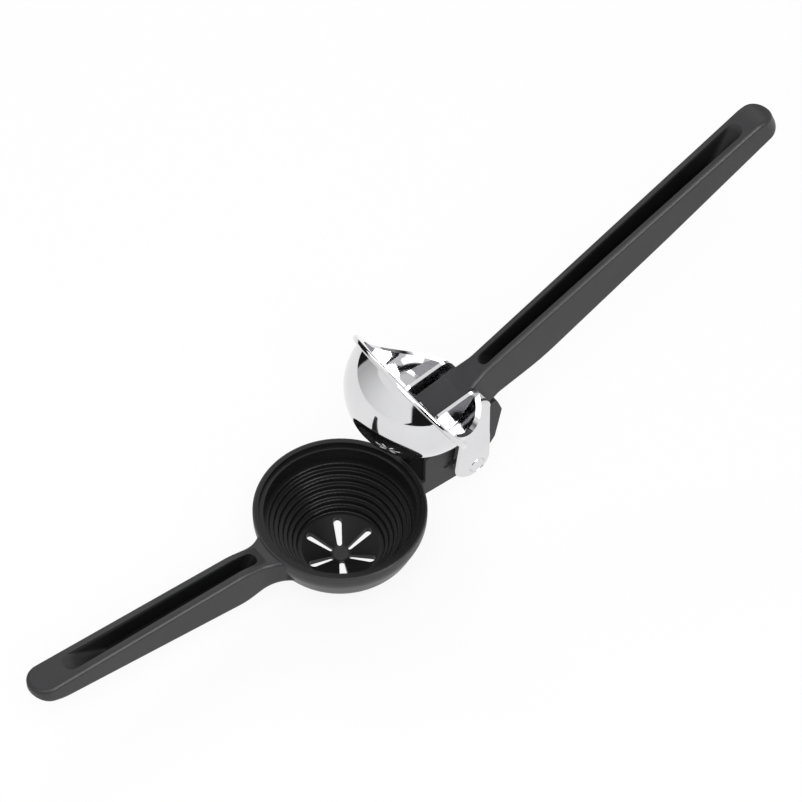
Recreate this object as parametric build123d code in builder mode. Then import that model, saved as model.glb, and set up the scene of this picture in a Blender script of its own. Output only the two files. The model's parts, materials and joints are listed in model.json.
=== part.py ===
"""Citrus squeezer: a perforated cup on a handle, a hinged press bowl and a geared upper lever.

Millimetres, +Z up. The origin is the middle of the cup's base, the hinge pins run along Y,
the cup's handle points along -X and the hinge lies along +X. The part stands open.
"""
import os
from math import acos, asin, atan2, cos, degrees, pi, radians, sin, sqrt, tan

from build123d import *

# Cup
base_height = 38.0
rim_radius = 40.0
rim_lip_width = 2.6
recess_depth = 2.1
recess_ledge_width = 2.3
rim_band_height = 6.0
shoulder_radius = 35.5
shoulder_depth = 18.0
bottom_radius = 23.5
bottom_blend = 4.0
outside_blend = 14.0
rim_round = 0.6
throat_radius = 34.8
throat_depth = 7.0
floor_radius = 18.2
floor_edge_depth = 30.4
floor_hub_radius = 4.6
floor_flat_radius = 3.4
floor_hub_depth = 36.4
floor_thickness = 1.7
rib_count = 8
rib_round = 0.5
drain_slot_count = 6
drain_slot_inner = 4.3
drain_slot_outer = 17.4
drain_slot_wide = 3.9
drain_slot_narrow = 2.3

# Lower handle
handle_reach = 167.5
handle_neck_lead = 17.0
handle_neck_half = 7.1
handle_widening = 1.0
handle_neck_rise = 2.2
handle_tip_rise = 3.6
handle_neck_depth = 22.4
handle_tip_depth = 13.2
handle_flare = 18.0
handle_flare_sink = 3.0
handle_flare_depth = 15.0
handle_root_inset = 14.0
handle_root_drop = 0.8
handle_ramp_lead = 2.0
handle_ramp_round = 24.0
handle_tip_length = 16.0
handle_tip_face = 3.8
handle_top_round = 1.9
handle_bottom_round = 3.0
channel_outer_reach = 150.0
channel_inner_reach = 44.5
channel_inner_radius = 3.7
channel_outer_radius = 4.4
channel_depth = 11.0
channel_floor_share = 0.8
channel_inner_ramp = 7.0
channel_outer_ramp = 22.0

# Hinge arm behind the cup
hinge_reach = 67.8
hinge_drop = 5.4
arm_half_width = 9.5
arm_inner_half_width = 8.0
arm_floor_depth = 12.5
arm_floor_thickness = 2.2
arm_front_reach = 41.5
arm_front_height = 13.0
arm_root_reach = 34.0
arm_pocket_gap = 0.6
arm_end_radius = 10.0
arm_corner_round = 2.0
stop_half_width = 7.2
stop_back_clearance = 2.6
stop_gap = 0.4
stop_thickness = 8.0
stop_back_height = 15.0
stop_low_thickness = 4.5
stop_low_drop = 3.0
stop_top_thickness = 4.6
stop_round = 2.5

# Gear pair: the arm carries the fixed sector, the lever carries the rolling one
gear_module = 2.5
sector_teeth = 18
lever_teeth = 13
pressure_angle = 25.0
gear_backlash = 0.35
addendum_share = 0.92
dedendum_share = 1.25
sector_tooth_count = 4
lever_tooth_count = 4
sector_half_width = 7.8
lever_gear_half_width = 5.0
sector_body_front = 14.0
sector_body_back = 8.6
sector_body_top = 9.0
sector_sweep_margin = 6.0

# Angles of the open pose
bowl_open_angle = 61.1
lever_open_angle = 23.44
link_angle = 27.9

# Press bowl
dome_radius = 32.6
dome_centre_height = 3.2
dome_wall = 2.2
flange_radius = 35.5
flange_thickness = 2.4
flange_lift = 0.3
flange_round = 0.9
shell_top_height = 20.3
shell_top_reach = 25.5
shell_middle_height = 6.8
shell_middle_reach = 14.3
ear_half_width = 14.6
ear_thickness = 3.1
ear_lobe_radius = 10.0
ear_lobe_lead = 4.9
ear_head_radius = 7.6
ear_edge_bevel = 0.9
web_half_width = 9.8
web_front_lead = 52.8
web_back_lead = 28.8
web_lean = 7.0
web_round = 6.0
lip_clearance = 0.5
nose_slot_bottom = 12.0

# Upper lever
lever_reach = 192.0
lever_root_half = 5.9
lever_neck_reach = 15.0
lever_neck_round = 16.0
lever_widening = 1.5
lever_face_height = 9.4
lever_hub_radius = 12.8
lever_belly_reach = 40.0
lever_belly_depth = 18.2
lever_belly_round = 90.0
lever_waist_reach = 120.0
lever_waist_depth = 13.2
lever_tip_underside = 7.6
lever_crown_length = 12.0
lever_crown_drop = 8.4
lever_tip_length = 7.0
lever_tip_face = 11.8
lever_face_start = 5.3
nose_start = 0.5
nose_reach = 15.6
nose_rise = 3.2
nose_thickness = 5.0
hub_width = 15.0
lever_top_round = 1.9
lever_bottom_round = 2.5
lever_channel_start = 16.0
lever_channel_end = 176.5
lever_channel_start_radius = 3.1
lever_channel_end_radius = 4.1
lever_channel_depth = 15.0
lever_gear_hub_radius = 6.4
lever_gear_sweep_margin = 9.0
key_pin_reach = 8.6

# Pins, caps and washers
hinge_pin_radius = 3.0
hinge_head_radius = 4.0
lever_pin_radius = 3.0
lever_cap_radius = 3.9
lever_pin_blind_wall = 1.8
lock_pin_radius = 2.0
key_pin_radius = 1.5
lock_pin_lead = 13.9
lock_pin_lift = 5.9
lock_pin_recess = 0.5
pin_head_depth = 1.6
pin_edge_bevel = 0.3
hinge_washer_radius = 7.0
lever_washer_radius = 5.8
running_clearance = 0.05
seat_clearance = 0.02
side_gap = 0.15
cut_overrun = 5.0
part_overrun = 60.0
tip_overrun = 1.0
slope_share = 0.6
straight_share = 0.999


def turned(x, z, degrees_up):
    """Turn a direction in the XZ plane by an angle that lifts +X towards +Z."""
    angle = radians(degrees_up)
    return (x * cos(angle) - z * sin(angle), x * sin(angle) + z * cos(angle))


def side_plane(x, z, degrees_up):
    """A plane through (x, 0, z), seen along +Y, whose own X is lifted by the angle."""
    ahead = turned(1, 0, degrees_up)
    return Plane(origin=(x, 0, z), x_dir=(ahead[0], 0, ahead[1]), z_dir=(0, -1, 0))


# Frames: the cup, the bowl and the lever each have a side plane of their own.
# In the first two, height 0 is the plane of the cup's rim with the bowl closed.
cup_side = side_plane(0, base_height, 0)
hinge_point = (hinge_reach, base_height - hinge_drop)
bowl_shift = turned(-hinge_reach, hinge_drop, -bowl_open_angle)
bowl_side = side_plane(hinge_point[0] + bowl_shift[0], hinge_point[1] + bowl_shift[1], -bowl_open_angle)
bowl_axis = Axis(bowl_side.origin, bowl_side.y_dir)
sector_pitch_radius = gear_module * sector_teeth / 2
lever_pitch_radius = gear_module * lever_teeth / 2
link_length = sector_pitch_radius + lever_pitch_radius
lever_pin_x = hinge_reach - link_length * cos(radians(link_angle))
lever_pin_z = link_length * sin(radians(link_angle)) - hinge_drop
lever_origin = bowl_side.from_local_coords((lever_pin_x, lever_pin_z, 0))
lever_side = side_plane(lever_origin.X, lever_origin.Z, lever_open_angle)
link_open_angle = 180 - link_angle - bowl_open_angle


def tooth_points(teeth, inner_radius, outer_radius, angle):
    """One involute tooth that points at the angle, from the inner to the outer radius."""
    pitch_radius = gear_module * teeth / 2
    base_radius = pitch_radius * cos(radians(pressure_angle))
    spread = tan(radians(pressure_angle)) - radians(pressure_angle)
    half_tooth = pi / (2 * teeth) - gear_backlash / (4 * pitch_radius)
    steps = 4
    flank = []
    for step in range(steps + 1):
        radius = inner_radius + (outer_radius - inner_radius) * step / steps
        roll = acos(min(base_radius / radius, 1))
        half_angle = half_tooth + spread - (tan(roll) - roll)
        flank.append((radius, half_angle))
    right = [turned(radius, 0, angle - degrees(half_angle)) for radius, half_angle in flank]
    left = [turned(radius, 0, angle + degrees(half_angle)) for radius, half_angle in reversed(flank)]
    return right + left


def gear_radii(teeth):
    """Root and tip radius of a gear."""
    pitch_radius = gear_module * teeth / 2
    return pitch_radius - dedendum_share * gear_module, pitch_radius + addendum_share * gear_module


sector_root, sector_tip = gear_radii(sector_teeth)
lever_root, lever_tip = gear_radii(lever_teeth)
sector_pitch_angle = 360 / sector_teeth
lever_pitch_angle = 360 / lever_teeth

# Cup body: cup, lower handle and hinge arm in one moulding
handle_tip_half = handle_neck_half + handle_widening
tip_centre = handle_reach - handle_tip_half
handle_root_reach = rim_radius - handle_root_inset
handle_neck_reach = rim_radius + handle_neck_lead
handle_ramp_reach = rim_radius + handle_ramp_lead
handle_taper = asin((handle_tip_half - handle_neck_half) / (tip_centre - handle_neck_reach))
side_normal = Vector(sin(handle_taper), cos(handle_taper))
side_distance = handle_neck_half - handle_neck_reach * sin(handle_taper)
flare_distance = side_distance + handle_flare
flare_root_radius = rim_radius - handle_flare_sink
flare_along = sqrt((flare_root_radius + handle_flare) ** 2 - flare_distance ** 2)
flare_centre = side_normal * flare_distance + Vector(-cos(handle_taper), sin(handle_taper)) * flare_along
flare_outer = flare_centre - side_normal * handle_flare
flare_inner = flare_centre * (flare_root_radius / (flare_root_radius + handle_flare))
flare_bend = (flare_outer - flare_centre) + (flare_inner - flare_centre)
flare_middle = flare_centre + flare_bend.normalized() * handle_flare
tip_side = Vector(-tip_centre, 0) + side_normal * handle_tip_half
bottom_depth = floor_edge_depth + floor_thickness
ledge_radius = rim_radius - rim_lip_width - recess_ledge_width
recess_radius = rim_radius - rim_lip_width
rib_step_radius = (throat_radius - floor_radius) / rib_count
rib_step_depth = (floor_edge_depth - throat_depth) / rib_count
arm_floor_top = arm_floor_thickness - arm_floor_depth
lever_underside_angle = degrees(atan2(lever_hub_radius - lever_belly_depth, lever_belly_reach))
stop_line = turned(1, 0, lever_open_angle + lever_underside_angle)
stop_normal = turned(0, 1, lever_open_angle)
stop_start = (
    lever_origin.X - stop_normal[0] * (lever_hub_radius + stop_gap),
    lever_origin.Z - base_height - stop_normal[1] * (lever_hub_radius + stop_gap),
)


def stop_height(x):
    """Height of the open stop, just below the resting lever, above the rim plane."""
    return stop_start[1] + (x - stop_start[0]) * stop_line[1] / stop_line[0]


def long_edges(shape, way):
    """Edges of the faces that look one way, apart from the straight edges along Y."""
    faces = shape.faces().filter_by(lambda face: face.normal_at().dot(way) > slope_share)
    return faces.edges().filter_by(lambda edge: abs(edge.tangent_at(0).Y) < straight_share)


def outer_corners(section):
    """Corners of a turned section that lie off its axis, from the lowest to the highest."""
    return section.vertices().filter_by(lambda corner: corner.X > 0).sort_by(Axis.Y)


stop_inner_reach = hinge_reach + sector_body_back + stop_back_clearance
stop_back_reach = stop_inner_reach + stop_thickness
stop_low_reach = stop_inner_reach + stop_low_thickness
stop_top_reach = stop_inner_reach + stop_top_thickness

with BuildPart() as cup_body:
    # Handle: plan outline, then trimmed to its side view
    with BuildSketch(Plane.XY):
        with BuildLine():
            for side in (1, -1):
                Polyline(
                    (-handle_root_reach, 0),
                    (-handle_root_reach, side * flare_inner.Y),
                    (flare_inner.X, side * flare_inner.Y),
                )
                ThreePointArc(
                    (flare_inner.X, side * flare_inner.Y),
                    (flare_middle.X, side * flare_middle.Y),
                    (flare_outer.X, side * flare_outer.Y),
                )
                Line((flare_outer.X, side * flare_outer.Y), (tip_side.X, side * tip_side.Y))
            ThreePointArc((tip_side.X, tip_side.Y), (-handle_reach, 0), (tip_side.X, -tip_side.Y))
        make_face()
    extrude(amount=2 * base_height)
    tip_face_height = handle_tip_rise - handle_tip_face
    handle_end = handle_reach + tip_overrun
    with BuildSketch(cup_side) as handle_side:
        with BuildLine():
            underside = Polyline(
                (-handle_root_reach, -handle_flare_depth),
                (flare_inner.X, -handle_flare_depth),
                (-handle_neck_reach, handle_neck_rise - handle_neck_depth),
                (handle_tip_length - handle_reach, handle_tip_rise - handle_tip_depth),
            )
            TangentArc(underside @ 1, (-handle_end, tip_face_height), tangent=underside % 1)
            Polyline(
                (-handle_end, tip_face_height),
                (-handle_end, handle_tip_rise),
                (-handle_neck_reach, handle_neck_rise),
                (-handle_ramp_reach, -handle_root_drop),
                (-handle_root_reach, -handle_root_drop),
                (-handle_root_reach, -handle_flare_depth),
            )
        make_face()
        bends = handle_side.vertices().filter_by(
            lambda corner: -handle_neck_reach - handle_tip_length < corner.X < -rim_radius
        )
        fillet(bends, handle_ramp_round)
    extrude(amount=part_overrun, both=True, mode=Mode.INTERSECT)
    fillet(long_edges(cup_body, Vector(0, 0, 1)), handle_top_round)
    fillet(long_edges(cup_body, Vector(0, 0, -1)), handle_bottom_round)
    # Cup outside
    with BuildSketch(cup_side) as cup_outside:
        with BuildLine():
            Polyline(
                (0, 0),
                (rim_radius, 0),
                (rim_radius, -rim_band_height),
                (shoulder_radius, -shoulder_depth),
                (bottom_radius, -bottom_depth),
                (floor_hub_radius, -base_height),
                (0, -base_height),
                close=True,
            )
        make_face()
        fillet(outer_corners(cup_outside)[2:4], outside_blend)
        fillet(outer_corners(cup_outside)[1], bottom_blend)
        fillet(outer_corners(cup_outside)[-1], rim_round)
    revolve(axis=Axis.Z)
    # Arm: cover plates, floor and the open stop
    with BuildSketch(cup_side.offset(-arm_half_width)) as arm_outline:
        with BuildLine():
            Polyline(
                (arm_root_reach, -arm_floor_depth),
                (hinge_reach, -arm_floor_depth),
                (hinge_reach, sector_tip - hinge_drop),
                (arm_front_reach, arm_front_height),
                (arm_front_reach, -rim_band_height / 2),
                (arm_root_reach, -rim_band_height / 2),
                close=True,
            )
        make_face()
        fillet(arm_outline.vertices().sort_by(Axis.Y)[-2:], arm_corner_round)
        with Locations((hinge_reach, -hinge_drop)):
            Circle(arm_end_radius)
    extrude(amount=2 * arm_half_width)
    with BuildSketch(cup_side.offset(-arm_inner_half_width)):
        with BuildLine():
            Polyline(
                (rim_radius + arm_pocket_gap, arm_floor_top),
                (hinge_reach + arm_end_radius + cut_overrun, arm_floor_top),
                (hinge_reach + arm_end_radius + cut_overrun, sector_tip),
                (rim_radius + arm_pocket_gap, sector_tip),
                close=True,
            )
        make_face()
    extrude(amount=2 * arm_inner_half_width, mode=Mode.SUBTRACT)
    with BuildSketch(cup_side.offset(-stop_half_width)) as stop_outline:
        with BuildLine():
            Polyline(
                (hinge_reach + sector_body_back, -arm_floor_depth),
                (stop_low_reach, -stop_low_drop),
                (stop_back_reach, stop_back_height),
                (stop_top_reach, stop_height(stop_top_reach)),
                (stop_inner_reach, stop_height(stop_inner_reach)),
                (stop_inner_reach, sector_body_top - hinge_drop),
                (hinge_reach + sector_body_back, -hinge_drop),
                close=True,
            )
        make_face()
        fillet(stop_outline.vertices().sort_by(Axis.X)[-3:], stop_round)
    extrude(amount=2 * stop_half_width)
    # Cup inside: recess for the bowl's flange, plain throat, ribs and dished floor
    with BuildSketch(cup_side) as cup_inside:
        with BuildLine():
            points = [(0, cut_overrun), (recess_radius, cut_overrun), (recess_radius, -recess_depth)]
            points += [(ledge_radius, -recess_depth), (throat_radius, -throat_depth)]
            for step in range(rib_count):
                step_depth = throat_depth + (step + 1) * rib_step_depth
                points.append((throat_radius - step * rib_step_radius, -step_depth))
                points.append((throat_radius - (step + 1) * rib_step_radius, -step_depth))
            points += [(floor_flat_radius, -floor_hub_depth), (0, -floor_hub_depth)]
            Polyline(*points, close=True)
        make_face()
        rib_corners = cup_inside.vertices().filter_by(
            lambda corner: floor_radius <= corner.X < throat_radius and corner.Y < -throat_depth - rib_round
        )
        fillet(rib_corners, rib_round)
    revolve(axis=Axis.Z, mode=Mode.SUBTRACT)
    # Drain slots, wider outside than inside
    inner_end = drain_slot_inner + drain_slot_narrow / 2
    outer_end = drain_slot_outer - drain_slot_wide / 2
    for slot in range(drain_slot_count):
        slot_angle = slot * 360 / drain_slot_count
        with BuildSketch(Plane.XY):
            with Locations(turned(inner_end, 0, slot_angle)):
                Circle(drain_slot_narrow / 2)
            with Locations(turned(outer_end, 0, slot_angle)):
                Circle(drain_slot_wide / 2)
            make_hull()
        extrude(amount=base_height - throat_depth, mode=Mode.SUBTRACT)
    # Grip channel in the handle's top face, with a steep inner ramp and a long outer one
    for depth, share, inner_inset, outer_inset in (
        (0, 1, 0, 0),
        (channel_depth, channel_floor_share, channel_inner_ramp, channel_outer_ramp),
    ):
        with BuildSketch(Plane.XY.offset(base_height + handle_tip_rise - depth)):
            with Locations((outer_inset + channel_outer_radius - channel_outer_reach, 0)):
                Circle(channel_outer_radius * share)
            with Locations((-inner_inset - channel_inner_radius - channel_inner_reach, 0)):
                Circle(channel_inner_radius * share)
            make_hull()
    loft(mode=Mode.SUBTRACT)
    # Holes for the hinge pin and for the pin that locks the fixed gear
    with BuildSketch(cup_side):
        with Locations((hinge_reach, -hinge_drop)):
            Circle(hinge_pin_radius + seat_clearance)
        with Locations((hinge_reach - lock_pin_lead, lock_pin_lift - hinge_drop)):
            Circle(lock_pin_radius + seat_clearance)
    extrude(amount=part_overrun, both=True, mode=Mode.SUBTRACT)

# Fixed sector gear, seated on the arm's floor between the cover plates
sector_first = link_open_angle - sector_pitch_angle / 2
sector_last = sector_first + (sector_tooth_count - 1) * sector_pitch_angle
sector_reach = 2 * sector_tip
sector_start = turned(sector_reach, 0, sector_first - sector_sweep_margin)
sector_middle = turned(sector_reach, 0, (sector_first + sector_last) / 2)
sector_end = turned(sector_reach, 0, sector_last + sector_sweep_margin)
sector_floor = arm_floor_top + hinge_drop + seat_clearance
sector_side = side_plane(hinge_point[0], hinge_point[1], 0)

with BuildPart() as sector_gear:
    with BuildSketch(sector_side):
        Circle(sector_root)
        with BuildLine():
            Polyline(
                sector_start,
                sector_middle,
                sector_end,
                (-sector_body_front, 0),
                (-sector_body_front, sector_floor),
                (sector_body_back - seat_clearance, sector_floor),
                (sector_body_back - seat_clearance, sector_body_top),
                close=True,
            )
        make_face(mode=Mode.INTERSECT)
        for tooth in range(sector_tooth_count):
            tooth_angle = sector_first + tooth * sector_pitch_angle
            with BuildLine():
                Polyline(*tooth_points(sector_teeth, sector_root, sector_tip, tooth_angle), close=True)
            make_face()
        Circle(hinge_pin_radius + seat_clearance, mode=Mode.SUBTRACT)
        with Locations((-lock_pin_lead, lock_pin_lift)):
            Circle(lock_pin_radius + seat_clearance, mode=Mode.SUBTRACT)
    extrude(amount=sector_half_width, both=True)

# Press bowl: dome, flange, side ears and inner webs in one casting
dome_inside = dome_radius - dome_wall
flange_bottom = flange_lift - recess_depth
flange_top = flange_bottom + flange_thickness
flange_inner = dome_radius - dome_wall / 2
ear_inner = ear_half_width - ear_thickness
ear_flat = ear_thickness - ear_edge_bevel
ear_lobe_x = hinge_reach - ear_lobe_lead
web_middle = (web_half_width + ear_inner) / 2
web_arc_radius = sqrt(flange_inner ** 2 - web_middle ** 2)
dome_top_angle = degrees(asin((shell_top_height - dome_centre_height) / dome_radius))
web_front_reach = hinge_reach - web_front_lead
web_back_reach = hinge_reach - web_back_lead
web_front_angle = -degrees(acos(web_front_reach / web_arc_radius))
web_back_angle = degrees(asin((lip_clearance - dome_centre_height) / web_arc_radius))
lever_hole_radius = lever_pin_radius + seat_clearance
lever_pin_near = ear_half_width - lever_pin_blind_wall
head_seat = ear_half_width - pin_head_depth


def dome_at(radius, angle):
    """The point of a circle about the dome's centre at an angle above the rim plane."""
    x, z = turned(radius, 0, angle)
    return (x, z + dome_centre_height)


web_low_front = dome_at(web_arc_radius, web_front_angle)
web_low_middle = dome_at(web_arc_radius, (web_front_angle + web_back_angle) / 2)
web_low_back = dome_at(web_arc_radius, web_back_angle)

with BuildPart() as press_bowl:
    # Dome, up to the height of its back, before it is hollowed
    with BuildSketch(bowl_side):
        with BuildLine():
            dome_top = dome_at(dome_radius, dome_top_angle)
            ThreePointArc(dome_at(dome_radius, -90), dome_at(dome_radius, -45), dome_top)
            Polyline(dome_top, (0, shell_top_height), dome_at(dome_radius, -90))
        make_face()
    revolve(axis=bowl_axis)
    # Flange
    with BuildSketch(bowl_side) as flange_section:
        with BuildLine():
            Polyline(
                (flange_inner, flange_bottom),
                (flange_radius, flange_bottom),
                (flange_radius, flange_top),
                (flange_inner, flange_top),
                close=True,
            )
        make_face()
        fillet(flange_section.vertices().group_by(Axis.X)[-1], flange_round)
    revolve(axis=bowl_axis)
    # The open side: low in front, rising to the back
    with BuildSketch(bowl_side):
        with BuildLine():
            ThreePointArc(
                (0, flange_top),
                (shell_middle_reach, shell_middle_height),
                (shell_top_reach, shell_top_height),
            )
            Polyline(
                (shell_top_reach, shell_top_height),
                (part_overrun, shell_top_height),
                (part_overrun, part_overrun),
                (-part_overrun, part_overrun),
                (-part_overrun, flange_top),
                (0, flange_top),
            )
        make_face()
    extrude(amount=part_overrun, both=True, mode=Mode.SUBTRACT)
    # Ears, then the dome's inside, which they don't enter
    for side in (1, -1):
        for start, depth, taper in ((ear_inner, ear_flat, 0), (ear_inner + ear_flat, ear_edge_bevel, 45)):
            with BuildSketch(bowl_side.offset(side * start)):
                with Locations((ear_lobe_x, -hinge_drop)):
                    Circle(ear_lobe_radius)
                with Locations((lever_pin_x, lever_pin_z)):
                    Circle(ear_head_radius)
                make_hull()
            extrude(amount=side * depth, taper=taper)
    with BuildSketch(bowl_side):
        with BuildLine():
            ThreePointArc(dome_at(dome_inside, -90), dome_at(dome_inside, 0), dome_at(dome_inside, 90))
            Line(dome_at(dome_inside, 90), dome_at(dome_inside, -90))
        make_face()
    revolve(axis=bowl_axis, mode=Mode.SUBTRACT)
    # Webs beside the lever, from the dome's floor up to the lever pin
    for side in (1, -1):
        with BuildSketch(bowl_side.offset(side * web_half_width)) as web_outline:
            with BuildLine():
                ThreePointArc(web_low_front, web_low_middle, web_low_back)
                Polyline(
                    web_low_back,
                    (web_back_reach, lip_clearance),
                    (web_back_reach, lever_pin_z),
                    (lever_pin_x + ear_head_radius / 2, lever_pin_z + ear_head_radius),
                    (web_front_reach + web_lean, lever_pin_z + ear_head_radius),
                    (web_front_reach, 0),
                    web_low_front,
                )
            make_face()
            fillet(web_outline.vertices().group_by(Axis.Y)[-1], web_round)
        extrude(amount=side * (ear_inner - web_half_width))
    # Slot in the back for the lever's nose
    with BuildSketch(bowl_side.offset(-web_half_width)):
        with BuildLine():
            Polyline(
                (web_front_reach, -nose_slot_bottom),
                (part_overrun, -nose_slot_bottom),
                (part_overrun, part_overrun),
                (web_front_reach, part_overrun),
                close=True,
            )
        make_face()
    extrude(amount=2 * web_half_width, mode=Mode.SUBTRACT)
    # Hinge pin bores with seats for the pin's head and cap
    with BuildSketch(bowl_side):
        with Locations((hinge_reach, -hinge_drop)):
            Circle(hinge_pin_radius + running_clearance)
    extrude(amount=part_overrun, both=True, mode=Mode.SUBTRACT)
    for side in (1, -1):
        with BuildSketch(bowl_side.offset(side * head_seat)):
            with Locations((hinge_reach, -hinge_drop)):
                Circle(hinge_head_radius + running_clearance)
        extrude(amount=side * cut_overrun, mode=Mode.SUBTRACT)
        with BuildSketch(bowl_side.offset(side * (ear_half_width - pin_edge_bevel))):
            with Locations((hinge_reach, -hinge_drop)):
                Circle(hinge_head_radius + running_clearance)
        extrude(amount=side * pin_edge_bevel, taper=-45, mode=Mode.SUBTRACT)
    # Lever pin bore, blind in the near ear, with a cap seat in the far one
    with BuildSketch(bowl_side.offset(lever_pin_near)):
        with Locations((lever_pin_x, lever_pin_z)):
            Circle(lever_hole_radius)
    extrude(amount=-part_overrun, mode=Mode.SUBTRACT)
    with BuildSketch(bowl_side.offset(-head_seat)):
        with Locations((lever_pin_x, lever_pin_z)):
            Circle(lever_cap_radius + seat_clearance)
    extrude(amount=-cut_overrun, mode=Mode.SUBTRACT)

# Upper lever: grip with a channel, forked hub and a nose
hub_half = hub_width / 2
lever_plan = Plane(origin=lever_side.origin, x_dir=lever_side.x_dir, z_dir=lever_side.y_dir)
lever_gear_first = link_open_angle + 180 - lever_open_angle
fork_half_gap = lever_gear_half_width + side_gap
nose_tip = (-nose_reach, lever_face_height + nose_rise)
lever_gear_last = lever_gear_first - (lever_tooth_count - 1) * lever_pitch_angle
lever_gear_middle = (lever_gear_first + lever_gear_last) / 2
key_pin_place = turned(key_pin_reach, 0, lever_gear_middle)
gear_start = lever_gear_first + lever_gear_sweep_margin
gear_end = lever_gear_last - lever_gear_sweep_margin
gear_sweep = [turned(sector_reach, 0, angle) for angle in (gear_start, lever_gear_middle, gear_end)]
fork_margin = degrees(side_gap / lever_gear_hub_radius)
fork_sweep = [
    turned(sector_reach, 0, gear_start + fork_margin),
    turned(sector_reach, 0, lever_gear_middle),
    turned(sector_reach, 0, gear_end - fork_margin),
]

lever_tip_half = lever_root_half + lever_widening
lever_tip_centre = lever_reach - lever_tip_half
lever_taper = asin((lever_tip_half - lever_root_half) / lever_tip_centre)
lever_normal = Vector(-sin(lever_taper), cos(lever_taper))
lever_neck_half = lever_root_half / cos(lever_taper) + lever_neck_reach * tan(lever_taper)
lever_tip_side = Vector(lever_tip_centre, 0) + lever_normal * lever_tip_half

with BuildPart() as upper_lever:
    # Grip: plan outline with a round end, trimmed to the side view
    with BuildSketch(lever_plan.offset(-part_overrun)) as grip_outline:
        with BuildLine():
            Polyline(
                (lever_tip_side.X, -lever_tip_side.Y),
                (lever_neck_reach, -lever_neck_half),
                (lever_face_start, -hub_half),
                (0, -hub_half),
                (0, hub_half),
                (lever_face_start, hub_half),
                (lever_neck_reach, lever_neck_half),
                (lever_tip_side.X, lever_tip_side.Y),
            )
            ThreePointArc(
                (lever_tip_side.X, lever_tip_side.Y),
                (lever_reach, 0),
                (lever_tip_side.X, -lever_tip_side.Y),
            )
        make_face()
        fillet(grip_outline.vertices().sort_by(Axis.X)[2:6], lever_neck_round)
    extrude(amount=2 * part_overrun)
    with BuildSketch(lever_side) as lever_outline:
        with BuildLine():
            underside = Polyline(
                (0, -lever_hub_radius),
                (lever_belly_reach, -lever_belly_depth),
                (lever_waist_reach, -lever_waist_depth),
                (lever_reach - lever_tip_length, -lever_tip_underside),
            )
            tip_low = (lever_reach + tip_overrun, lever_face_height - lever_tip_face)
            tip_high = (lever_reach + tip_overrun, lever_face_height - lever_crown_drop)
            crown = (lever_reach - lever_crown_length, lever_face_height)
            TangentArc(underside @ 1, tip_low, tangent=underside % 1)
            Line(tip_low, tip_high)
            TangentArc(crown, tip_high, tangent=(1, 0))
            Polyline(crown, (0, lever_face_height), (0, -lever_hub_radius))
        make_face()
        fillet(lever_outline.vertices().sort_by(Axis.X)[2:4], lever_belly_round)
    extrude(amount=part_overrun, both=True, mode=Mode.INTERSECT)
    fillet(long_edges(upper_lever, lever_side.y_dir), lever_top_round)
    fillet(long_edges(upper_lever, -lever_side.y_dir), lever_bottom_round)
    # Hub and nose
    with BuildSketch(lever_side):
        with BuildLine():
            Polyline(
                (0, -lever_hub_radius),
                (0, 0),
                (lever_face_start, lever_face_height),
                (nose_start, lever_face_height),
                nose_tip,
                (nose_tip[0], nose_tip[1] - nose_thickness),
                (-lever_hub_radius, 0),
            )
            ThreePointArc((-lever_hub_radius, 0), turned(-lever_hub_radius, 0, 45), (0, -lever_hub_radius))
        make_face()
    extrude(amount=hub_half, both=True)
    # Grip channel, with the same ramps
    for depth, share, inner_inset, outer_inset in (
        (0, 1, 0, 0),
        (lever_channel_depth, channel_floor_share, channel_inner_ramp, channel_outer_ramp),
    ):
        with BuildSketch(lever_plan.offset(lever_face_height - depth)):
            with Locations((inner_inset + lever_channel_start + lever_channel_start_radius, 0)):
                Circle(lever_channel_start_radius * share)
            with Locations((lever_channel_end - lever_channel_end_radius - outer_inset, 0)):
                Circle(lever_channel_end_radius * share)
            make_hull()
    loft(mode=Mode.SUBTRACT)
    # Fork for the gear
    with BuildSketch(lever_side):
        Circle(lever_gear_hub_radius + seat_clearance)
        with BuildLine():
            Polyline((0, 0), *fork_sweep, close=True)
        make_face()
    extrude(amount=fork_half_gap, both=True, mode=Mode.SUBTRACT)
    # Holes for the lever pin and the gear's key pin
    with BuildSketch(lever_side):
        Circle(lever_pin_radius + running_clearance)
        with Locations(key_pin_place):
            Circle(key_pin_radius + seat_clearance)
    extrude(amount=part_overrun, both=True, mode=Mode.SUBTRACT)

# Rolling gear inside the lever's fork
with BuildPart() as lever_gear:
    with BuildSketch(lever_side):
        Circle(lever_root)
        with BuildLine():
            Polyline((0, 0), *gear_sweep, close=True)
        make_face(mode=Mode.INTERSECT)
        Circle(lever_gear_hub_radius)
        for tooth in range(lever_tooth_count):
            tooth_angle = lever_gear_first - tooth * lever_pitch_angle
            with BuildLine():
                Polyline(*tooth_points(lever_teeth, lever_root, lever_tip, tooth_angle), close=True)
            make_face()
        Circle(lever_pin_radius + running_clearance, mode=Mode.SUBTRACT)
        with Locations(key_pin_place):
            Circle(key_pin_radius + seat_clearance, mode=Mode.SUBTRACT)
    extrude(amount=lever_gear_half_width, both=True)

# Hinge pin, headed on the near side, and the cap on its far end
with BuildPart() as hinge_pin:
    with BuildSketch(sector_side.offset(-head_seat)):
        Circle(hinge_pin_radius)
    extrude(amount=2 * head_seat)
    with BuildSketch(sector_side.offset(head_seat)):
        Circle(hinge_head_radius)
    extrude(amount=pin_head_depth)
    chamfer(hinge_pin.faces().sort_by(Axis.Y)[0].edges(), pin_edge_bevel)

with BuildPart() as hinge_pin_cap:
    with BuildSketch(sector_side.offset(-head_seat)):
        Circle(hinge_head_radius)
    extrude(amount=-pin_head_depth)
    chamfer(hinge_pin_cap.faces().sort_by(Axis.Y)[-1].edges(), pin_edge_bevel)

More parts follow.
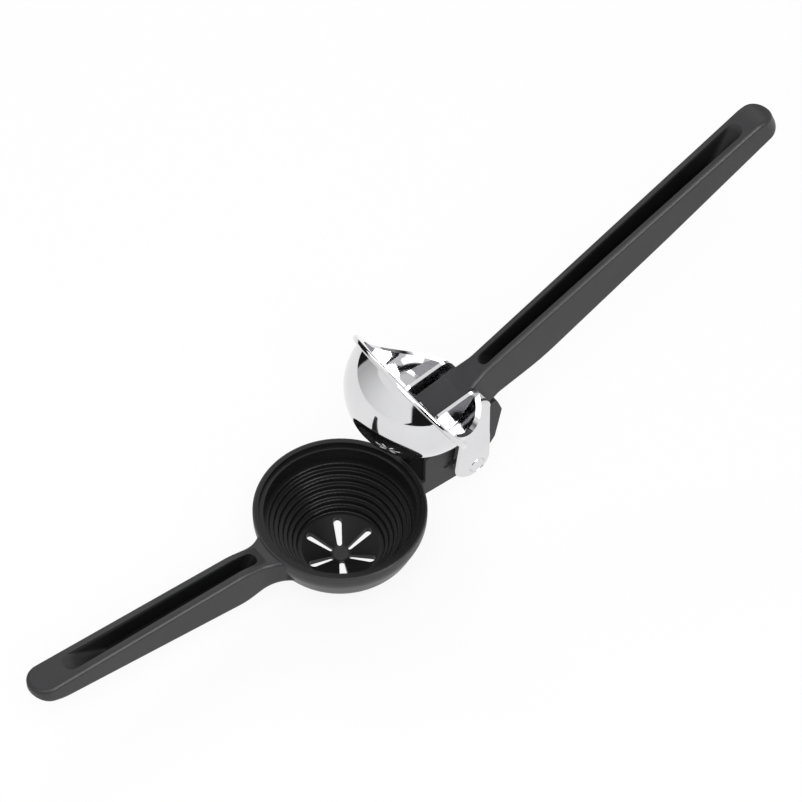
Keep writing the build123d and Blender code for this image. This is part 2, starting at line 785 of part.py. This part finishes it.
# Lever pin and its cap
with BuildPart() as lever_pin:
    with BuildSketch(lever_side.offset(-head_seat)):
        Circle(lever_pin_radius)
    extrude(amount=head_seat + lever_pin_near - seat_clearance)

with BuildPart() as lever_pin_cap:
    with BuildSketch(lever_side.offset(-head_seat)):
        Circle(lever_cap_radius)
    extrude(amount=-pin_head_depth)

# Pins that lock the gears to the arm and to the lever
lock_pin_plane = side_plane(hinge_point[0] - lock_pin_lead, hinge_point[1] + lock_pin_lift, 0)
with BuildPart() as sector_gear_pin:
    with BuildSketch(lock_pin_plane):
        Circle(lock_pin_radius)
    extrude(amount=arm_half_width - lock_pin_recess, both=True)

key_pin_origin = lever_side.from_local_coords((key_pin_place[0], key_pin_place[1], 0))
with BuildPart() as lever_gear_pin:
    with BuildSketch(side_plane(key_pin_origin.X, key_pin_origin.Z, lever_open_angle)):
        Circle(key_pin_radius)
    extrude(amount=hub_half, both=True)

# Thrust washers, a pair on each pin
with BuildPart() as hinge_washers:
    for side in (1, -1):
        with BuildSketch(sector_side.offset(side * arm_half_width)):
            Circle(hinge_washer_radius)
            Circle(hinge_pin_radius + seat_clearance, mode=Mode.SUBTRACT)
        extrude(amount=side * (ear_inner - arm_half_width - side_gap))

with BuildPart() as lever_washers:
    for side in (1, -1):
        with BuildSketch(lever_side.offset(side * (hub_half + side_gap))):
            Circle(lever_washer_radius)
            Circle(lever_hole_radius, mode=Mode.SUBTRACT)
        extrude(amount=side * (web_half_width - hub_half - side_gap))

pieces = {
    "cup_body": cup_body,
    "sector_gear": sector_gear,
    "sector_gear_pin": sector_gear_pin,
    "hinge_pin": hinge_pin,
    "hinge_pin_cap": hinge_pin_cap,
    "hinge_washers": hinge_washers,
    "press_bowl": press_bowl,
    "lever_pin": lever_pin,
    "lever_pin_cap": lever_pin_cap,
    "lever_washers": lever_washers,
    "upper_lever": upper_lever,
    "lever_gear": lever_gear,
    "lever_gear_pin": lever_gear_pin,
}
os.makedirs("parts", exist_ok=True)
for name, piece in pieces.items():
    piece.part.label = name
    export_step(piece.part, f"parts/{name}.step")
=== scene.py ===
import json
import math

import bpy
from mathutils import Matrix, Vector


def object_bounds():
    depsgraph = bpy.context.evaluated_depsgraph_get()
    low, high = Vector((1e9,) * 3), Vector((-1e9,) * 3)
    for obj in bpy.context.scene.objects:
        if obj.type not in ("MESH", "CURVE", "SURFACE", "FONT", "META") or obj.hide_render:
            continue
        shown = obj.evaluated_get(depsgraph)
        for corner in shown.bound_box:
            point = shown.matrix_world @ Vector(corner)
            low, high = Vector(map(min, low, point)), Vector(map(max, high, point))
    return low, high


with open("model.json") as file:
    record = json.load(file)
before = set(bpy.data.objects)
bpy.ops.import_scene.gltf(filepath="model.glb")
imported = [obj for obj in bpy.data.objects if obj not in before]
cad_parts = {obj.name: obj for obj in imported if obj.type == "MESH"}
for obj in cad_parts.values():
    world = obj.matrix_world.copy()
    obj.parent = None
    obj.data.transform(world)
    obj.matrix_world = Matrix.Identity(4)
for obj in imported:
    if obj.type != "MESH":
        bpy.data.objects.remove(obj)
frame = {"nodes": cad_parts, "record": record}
cad_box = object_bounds()
nodes = frame["nodes"]
scene = bpy.context.scene
MM = 0.001
UNIT = (0.0, 1.0)


def srgb(code):
    """Linear colour, with alpha, of an sRGB hex value."""
    parts = [int(code[i:i + 2], 16) / 255 for i in (1, 3, 5)]
    return tuple(p / 12.92 if p <= 0.04045 else ((p + 0.055) / 1.055) ** 2.4 for p in parts) + (1.0,)


def node(tree, kind, settings=None, links=None):
    """Adds a node.

    Settings are inputs or properties by name. Links are inputs fed by other nodes' outputs."""
    made = tree.nodes.new(kind)
    for name, value in (settings or {}).items():
        if isinstance(name, int) or name in made.inputs:
            made.inputs[name].default_value = value
        else:
            setattr(made, name, value)
    for name, source in (links or {}).items():
        tree.links.new(source, made.inputs[name])
    return made


def both(tree, first, second):
    """The product of two masks."""
    return node(tree, "ShaderNodeMath", {"operation": "MULTIPLY"}, {0: first, 1: second}).outputs["Value"]


def either(tree, first, second):
    """The greater of two masks."""
    return node(tree, "ShaderNodeMath", {"operation": "MAXIMUM"}, {0: first, 1: second}).outputs["Value"]


def mapped(tree, value, ends, results=UNIT):
    """Runs between two results while a value runs between two ends, and stays level beyond them."""
    settings = {"From Min": ends[0], "From Max": ends[1], "To Min": results[0], "To Max": results[1]}
    return node(tree, "ShaderNodeMapRange", settings, {"Value": value}).outputs["Result"]


def between(tree, value, low, high, edge=0.3):
    """1 where a length in metres lies between two sizes in mm, with a soft edge, else 0."""
    rising = mapped(tree, value, ((low - edge) * MM, (low + edge) * MM))
    falling = mapped(tree, value, ((high + edge) * MM, (high - edge) * MM))
    return both(tree, rising, falling)


def split(tree, vector):
    """The X, Y and Z of a vector."""
    return node(tree, "ShaderNodeSeparateXYZ", None, {"Vector": vector}).outputs


def flattened(tree, axes):
    """A vector without its height."""
    return node(tree, "ShaderNodeCombineXYZ", None, {"X": axes["X"], "Y": axes["Y"]}).outputs["Vector"]


def new_material(name):
    """An empty material and its tree."""
    material = bpy.data.materials.new(name)
    material.use_nodes = True
    material.node_tree.nodes.clear()
    return material, material.node_tree


def place_on(tree):
    """Position in metres, in the piece's own axes, which are the frame's when the part is at rest."""
    return node(tree, "ShaderNodeTexCoord").outputs["Object"]


def per_metre(size_mm):
    """Texture scale of one unit per given size, for coordinates in metres."""
    return 1 / (size_mm * MM)


def noise(tree, place, size_mm, detail):
    """Noise with blotches of about the given size."""
    settings = {"Scale": per_metre(size_mm), "Detail": detail}
    return node(tree, "ShaderNodeTexNoise", settings, {"Vector": place}).outputs["Fac"]


def blend(tree, share, first, second):
    """A colour between two sRGB hex values."""
    settings = {"data_type": "RGBA", 6: srgb(first), 7: srgb(second)}
    return node(tree, "ShaderNodeMix", settings, {0: share}).outputs[2]


def bumped(tree, height, strength, depth_mm):
    """Normal of a skin with bumps of the given depth."""
    settings = {"Strength": strength, "Distance": depth_mm * MM}
    return node(tree, "ShaderNodeBump", settings, {"Height": height}).outputs["Normal"]


def shade(tree, settings, links):
    """Ends a material's tree with a principled shader."""
    shader = node(tree, "ShaderNodeBsdfPrincipled", settings, links)
    node(tree, "ShaderNodeOutputMaterial", None, {"Surface": shader.outputs["BSDF"]})


def cup_polish_and_shade(tree, place):
    """The cup's inside below the rim, and the lower handle's channel, where the nylon is drawn smoother
    and is darkened with painted shade. Sizes are in mm.
    """
    bowl_reach, bowl_low, bowl_high = 39.2, 2, 38.5
    outer_end, inner_end, half_width = -151, -44, 5
    fade_middle, fade_half = -146, 26
    channel_low, channel_high, channel_edge = 28, 39.2, 0.8
    axes = split(tree, place)
    reach = node(
        tree, "ShaderNodeVectorMath", {"operation": "LENGTH"}, {"Vector": flattened(tree, axes)},
    ).outputs["Value"]
    # A reach is never below 0, so from -1 it takes in the middle
    bowl = both(tree, between(tree, reach, -1, bowl_reach), between(tree, axes["Z"], bowl_low, bowl_high))
    # The polish and the painted shade fade out along the channel's outer ramp, as the channel grows
    # shallower
    fade = between(tree, axes["X"], fade_middle, 0, fade_half)
    channel = both(tree, between(tree, axes["X"], outer_end, inner_end), fade)
    channel = both(tree, channel, between(tree, axes["Y"], -half_width, half_width))
    channel = both(tree, channel, between(tree, axes["Z"], channel_low, channel_high, channel_edge))
    return either(tree, bowl, channel)


def lever_polish_and_shade(tree, place):
    """The upper lever's channel, where the nylon is drawn smoother and is darkened with painted shade, in
    axes that lie along the lever and start at its pivot.

    Sizes are in mm."""
    pivot, slope = Vector((67.12, 0, 71.34)) * MM, math.radians(-23.44)
    inner_end, outer_end, half_width = 15, 177.5, 4.6
    fade_middle, fade_half = 172, 30
    channel_low, channel_high, channel_edge = -8, 8.2, 0.8
    settings = {"vector_type": "TEXTURE", "Location": pivot, "Rotation": (0, slope, 0)}
    along = node(tree, "ShaderNodeMapping", settings, {"Vector": place}).outputs["Vector"]
    axes = split(tree, along)
    # The polish and the painted shade fade out along the channel's outer ramp, as the channel grows
    # shallower
    fade = between(tree, axes["X"], 0, fade_middle, fade_half)
    channel = both(tree, between(tree, axes["X"], inner_end, outer_end), fade)
    channel = both(tree, channel, between(tree, axes["Y"], -half_width, half_width))
    return both(tree, channel, between(tree, axes["Z"], channel_low, channel_high, channel_edge))


def spark_textured_nylon(name, polish_and_shade_mask):
    """Glass-filled nylon from a spark-eroded mould: charcoal, dull, with a fine even grain.

    Hollows were polished in the mould, so they are smoother and a little glossier. They are also drawn
    blacker, and that blackness is painted shade."""
    material, tree = new_material(name)
    place = place_on(tree)
    # The real grain is about 0.15 mm, too fine to show here, so it is drawn at 0.5 mm
    grain = noise(tree, place, 0.5, 3.0)
    cloud = noise(tree, place, 22, 4.0)
    polished_and_shaded = polish_and_shade_mask(tree, place)
    dull = blend(tree, cloud, "#363637", "#404042")
    # Painted shade: where the mask is 1 the nylon turns near black (#1a1a1b), standing in for the shade
    # inside the cup and the grip channels
    colour = node(
        tree, "ShaderNodeMix", {"data_type": "RGBA", 7: srgb("#1a1a1b")}, {0: polished_and_shaded, 6: dull},
    ).outputs[2]
    bump_strength = mapped(tree, polished_and_shaded, UNIT, (1.0, 0.1))
    bump = node(
        tree, "ShaderNodeBump", {"Distance": 0.008 * MM}, {"Height": grain, "Strength": bump_strength},
    ).outputs["Normal"]
    shade(tree, {"IOR": 1.53, "Specular IOR Level": 0.15}, {
        "Base Color": colour,
        "Roughness": mapped(tree, polished_and_shaded, UNIT, (0.38, 0.32)),
        "Normal": bump,
    })
    return material


def chrome_plate():
    """Chrome plate on a polished die casting: a clear mirror with faint orange peel and wiped smears."""
    material, tree = new_material("chrome_plated_casting")
    place = place_on(tree)
    peel = noise(tree, place, 9, 1.0)
    smear = noise(tree, place, 14, 5.0)
    shade(tree, {"Metallic": 1.0}, {
        "Base Color": blend(tree, smear, "#e3e3e4", "#d6d6d8"),
        "Roughness": mapped(tree, smear, (0.35, 0.75), (0.035, 0.09)),
        "Normal": bumped(tree, peel, 0.25, 0.05),
    })
    return material


def turned_steel():
    """Bright steel bar, turned and tumbled: a grey mirror broken by tool marks and small scuffs."""
    material, tree = new_material("steel_turned_bright")
    place = place_on(tree)
    scuff = noise(tree, place, 1.5, 5.0)
    # Real tool marks are too fine to show. At this scale the waves are about 2.5 mm apart, and as
    # they run around the frame's Y axis they are nearly straight on a pin's end.
    marks = node(
        tree, "ShaderNodeTexWave",
        {"wave_type": "RINGS", "rings_direction": "Y", "Scale": per_metre(8)}, {"Vector": place},
    ).outputs["Fac"]
    shade(tree, {"Metallic": 1.0}, {
        "Base Color": blend(tree, scuff, "#d4d4d6", "#bdbec0"),
        "Roughness": mapped(tree, scuff, UNIT, (0.12, 0.3)),
        "Normal": bumped(tree, marks, 0.1, 0.02),
    })
    return material


def cast_gear_alloy():
    """Die-cast alloy left as cast: satin grey with a slightly uneven, grainy skin."""
    material, tree = new_material("alloy_die_cast")
    skin = noise(tree, place_on(tree), 1.2, 6.0)
    shade(tree, {"Metallic": 1.0}, {
        "Base Color": blend(tree, skin, "#9a9b9d", "#7d7e81"),
        "Roughness": mapped(tree, skin, UNIT, (0.35, 0.55)),
        "Normal": bumped(tree, skin, 0.4, 0.04),
    })
    return material


def punched_acetal():
    """Black acetal sheet, punched into washers: smooth and waxy, with a faint mottle."""
    material, tree = new_material("acetal_punched")
    mottle = noise(tree, place_on(tree), 2, 3.0)
    shade(tree, {"IOR": 1.48}, {
        "Base Color": blend(tree, mottle, "#1b1b1c", "#262628"),
        "Roughness": mapped(tree, mottle, UNIT, (0.35, 0.5)),
    })
    return material


def blackened_steel():
    """Steel pin, chemically blackened: near black and satin, with faint brown-grey clouds."""
    material, tree = new_material("steel_blackened")
    cloud = noise(tree, place_on(tree), 1.5, 4.0)
    shade(tree, {"Metallic": 0.4}, {
        "Base Color": blend(tree, cloud, "#2b2b2c", "#383736"),
        "Roughness": mapped(tree, cloud, UNIT, (0.35, 0.5)),
    })
    return material


chrome = chrome_plate()
finishes = {
    "bowl_chrome": chrome,
    "pin_chrome": chrome,
    "pin_steel": turned_steel(),
    "pin_black": blackened_steel(),
    "gear_metal": cast_gear_alloy(),
    "washer_plastic": punched_acetal(),
}
# The two nylon mouldings are polished, and darkened with painted shade, in different places
mouldings = {
    "cup_body": spark_textured_nylon("nylon_cup", cup_polish_and_shade),
    "upper_lever": spark_textured_nylon("nylon_lever", lever_polish_and_shade),
}
for entry in frame["record"]["subparts"]:
    name = entry["node"]
    slots = nodes[name].data.materials
    slots.clear()
    slots.append(mouldings[name] if name in mouldings else finishes[entry["material_slot"]])


def mixed(tree, share, first, second):
    """A shader between two others."""
    return node(tree, "ShaderNodeMixShader", None, {0: share, 1: first, 2: second}).outputs["Shader"]


def studio_floor():
    """Disc of white paper. To the camera and in mirrors it is near white and keeps a soft shadow."""
    lifted_share, glow_strength = 0.85, 1.03
    reach, sides = 0.55, 96
    middle_x, middle_y, gap_below_part = -0.05, 0.18, 0.0002
    material, tree = new_material("floor_white_paper")
    ray = node(tree, "ShaderNodeLightPath").outputs
    seen = either(tree, ray["Is Camera Ray"], ray["Is Glossy Ray"])
    seen = either(tree, seen, ray["Is Transmission Ray"])
    lift = node(tree, "ShaderNodeMath", {"operation": "MULTIPLY", 1: lifted_share}, {0: seen})
    paper = node(tree, "ShaderNodeBsdfDiffuse", {"Color": srgb("#f6f6f6")})
    glow = node(tree, "ShaderNodeEmission", {"Color": srgb("#ffffff"), "Strength": glow_strength})
    surface = mixed(tree, lift.outputs["Value"], paper.outputs["BSDF"], glow.outputs["Emission"])
    node(tree, "ShaderNodeOutputMaterial", None, {"Surface": surface})
    mesh = bpy.data.meshes.new("floor")
    turns = [2 * math.pi * side / sides for side in range(sides)]
    mesh.from_pydata([(reach * math.cos(t), reach * math.sin(t), 0) for t in turns], [], [range(sides)])
    floor = bpy.data.objects.new("floor", mesh)
    floor.data.materials.append(material)
    floor.location = (middle_x, middle_y, cad_box[0].z - gap_below_part)
    scene.collection.objects.link(floor)


def compass(turn):
    """Level direction at a number of degrees from +X towards +Y."""
    return (math.cos(math.radians(turn)), math.sin(math.radians(turn)), 0)


def dot(tree, vector, direction):
    """How far a vector reaches along a direction."""
    settings = {"operation": "DOT_PRODUCT", 1: direction}
    return node(tree, "ShaderNodeVectorMath", settings, {0: vector}).outputs["Value"]


def studio_world():
    """White to the camera, and an even fill for dull surfaces.

    Mirrors show a card on the left, one on the right, a ceiling and a dark room between them."""
    fill_strength, white_strength = 0.42, 1.0
    card_edge, slant_edge = 0.02, 0.01
    slant = (-0.378, 0.15, 0.914)
    ceiling_heights, room_to_ceiling = (0.38, 0.5), (0.012, 0.95)
    world = bpy.data.worlds.new("studio")
    world.use_nodes = True
    tree = world.node_tree
    tree.nodes.clear()
    ray = node(tree, "ShaderNodeLightPath").outputs
    way = node(tree, "ShaderNodeTexCoord").outputs["Generated"]
    axes = split(tree, way)
    level = node(
        tree, "ShaderNodeVectorMath", {"operation": "NORMALIZE"}, {"Vector": flattened(tree, axes)},
    ).outputs["Vector"]

    def card(turn, spread, bright_turn, tones):
        """A card around one compass direction, brighter towards another."""
        edge = math.cos(math.radians(spread))
        inside = mapped(tree, dot(tree, level, compass(turn)), (edge - card_edge, edge + card_edge))
        tone = mapped(tree, dot(tree, level, compass(bright_turn)), UNIT, tones)
        return both(tree, inside, tone)

    left = card(turn=172, spread=55, bright_turn=215, tones=(0.5, 1.0))
    # The left card's lower edge is slanted
    left = both(tree, left, mapped(tree, dot(tree, way, slant), (-slant_edge, slant_edge)))
    right = card(turn=-15, spread=45, bright_turn=-40, tones=(0.6, 0.95))
    ceiling = mapped(tree, axes["Z"], ceiling_heights, room_to_ceiling)
    bright = either(tree, either(tree, left, right), ceiling)
    colour = srgb("#ffffff")
    mirror = node(tree, "ShaderNodeBackground", {"Color": colour}, {"Strength": bright})
    fill = node(tree, "ShaderNodeBackground", {"Color": colour, "Strength": fill_strength})
    white = node(tree, "ShaderNodeBackground", {"Color": colour, "Strength": white_strength})
    unseen = mixed(tree, ray["Is Glossy Ray"], fill.outputs["Background"], mirror.outputs["Background"])
    surface = mixed(tree, ray["Is Camera Ray"], unseen, white.outputs["Background"])
    node(tree, "ShaderNodeOutputWorld", None, {"Surface": surface})
    scene.world = world


def soft_box(name, place, size, watts):
    """A rectangular light that faces the middle of the part."""
    target = Vector((0.03, 0, 0.05))
    light = bpy.data.lights.new(name, "AREA")
    light.shape = "RECTANGLE"
    light.size, light.size_y = size
    light.energy = watts
    lamp = bpy.data.objects.new(name, light)
    lamp.location = place
    lamp.rotation_mode = "QUATERNION"
    lamp.rotation_quaternion = (target - Vector(place)).to_track_quat("-Z", "Y")
    scene.collection.objects.link(lamp)
    return lamp


def photo_camera():
    """The camera that took the photograph, found from the cup's rim, the hinge and the two handles."""
    tilt, swing, roll = math.radians(52.149), math.radians(36.836), math.radians(0.532)
    distance, rim_height = 1.5, 38 * MM
    # In pixels of the photograph: its half width, the focal length and the middle of the cup's rim
    middle, focal = 401.0, 3288.0
    rim_x, rim_y = 340.024, 507.649
    back = Vector((-math.sin(swing) * math.cos(tilt), -math.cos(swing) * math.cos(tilt), math.sin(tilt)))
    across = Vector((math.cos(swing), -math.sin(swing), 0))
    up = back.cross(across)
    right = math.cos(roll) * across + math.sin(roll) * up
    top = -math.sin(roll) * across + math.cos(roll) * up
    shift_x = (rim_x - middle) / focal * distance
    shift_y = (middle - rim_y) / focal * distance
    lens = bpy.data.cameras.new("photo_camera")
    lens.sensor_width = 36.0
    lens.lens = focal / (2 * middle) * lens.sensor_width
    lens.clip_start, lens.clip_end = 0.05, 50.0
    camera = bpy.data.objects.new("photo_camera", lens)
    place = back * distance - right * shift_x - top * shift_y + Vector((0, 0, rim_height))
    turn = Matrix((right, top, back)).transposed().to_4x4()
    camera.matrix_world = Matrix.Translation(place) @ turn
    scene.collection.objects.link(camera)
    scene.camera = camera


studio_floor()
studio_world()
soft_box("key_light", place=(-0.5, -0.7, 1.3), size=(0.9, 0.9), watts=12)
soft_box("back_light", place=(0.5, 0.9, 1.0), size=(1.2, 0.6), watts=4)
# Only reflections show the front light. It draws the bright lines along the handles' near edges.
front_light = soft_box("front_light", place=(0.25, -1.1, 0.56), size=(0.6, 1.0), watts=24)
front_light.visible_diffuse = False
photo_camera()
scene.view_settings.view_transform = "Standard"
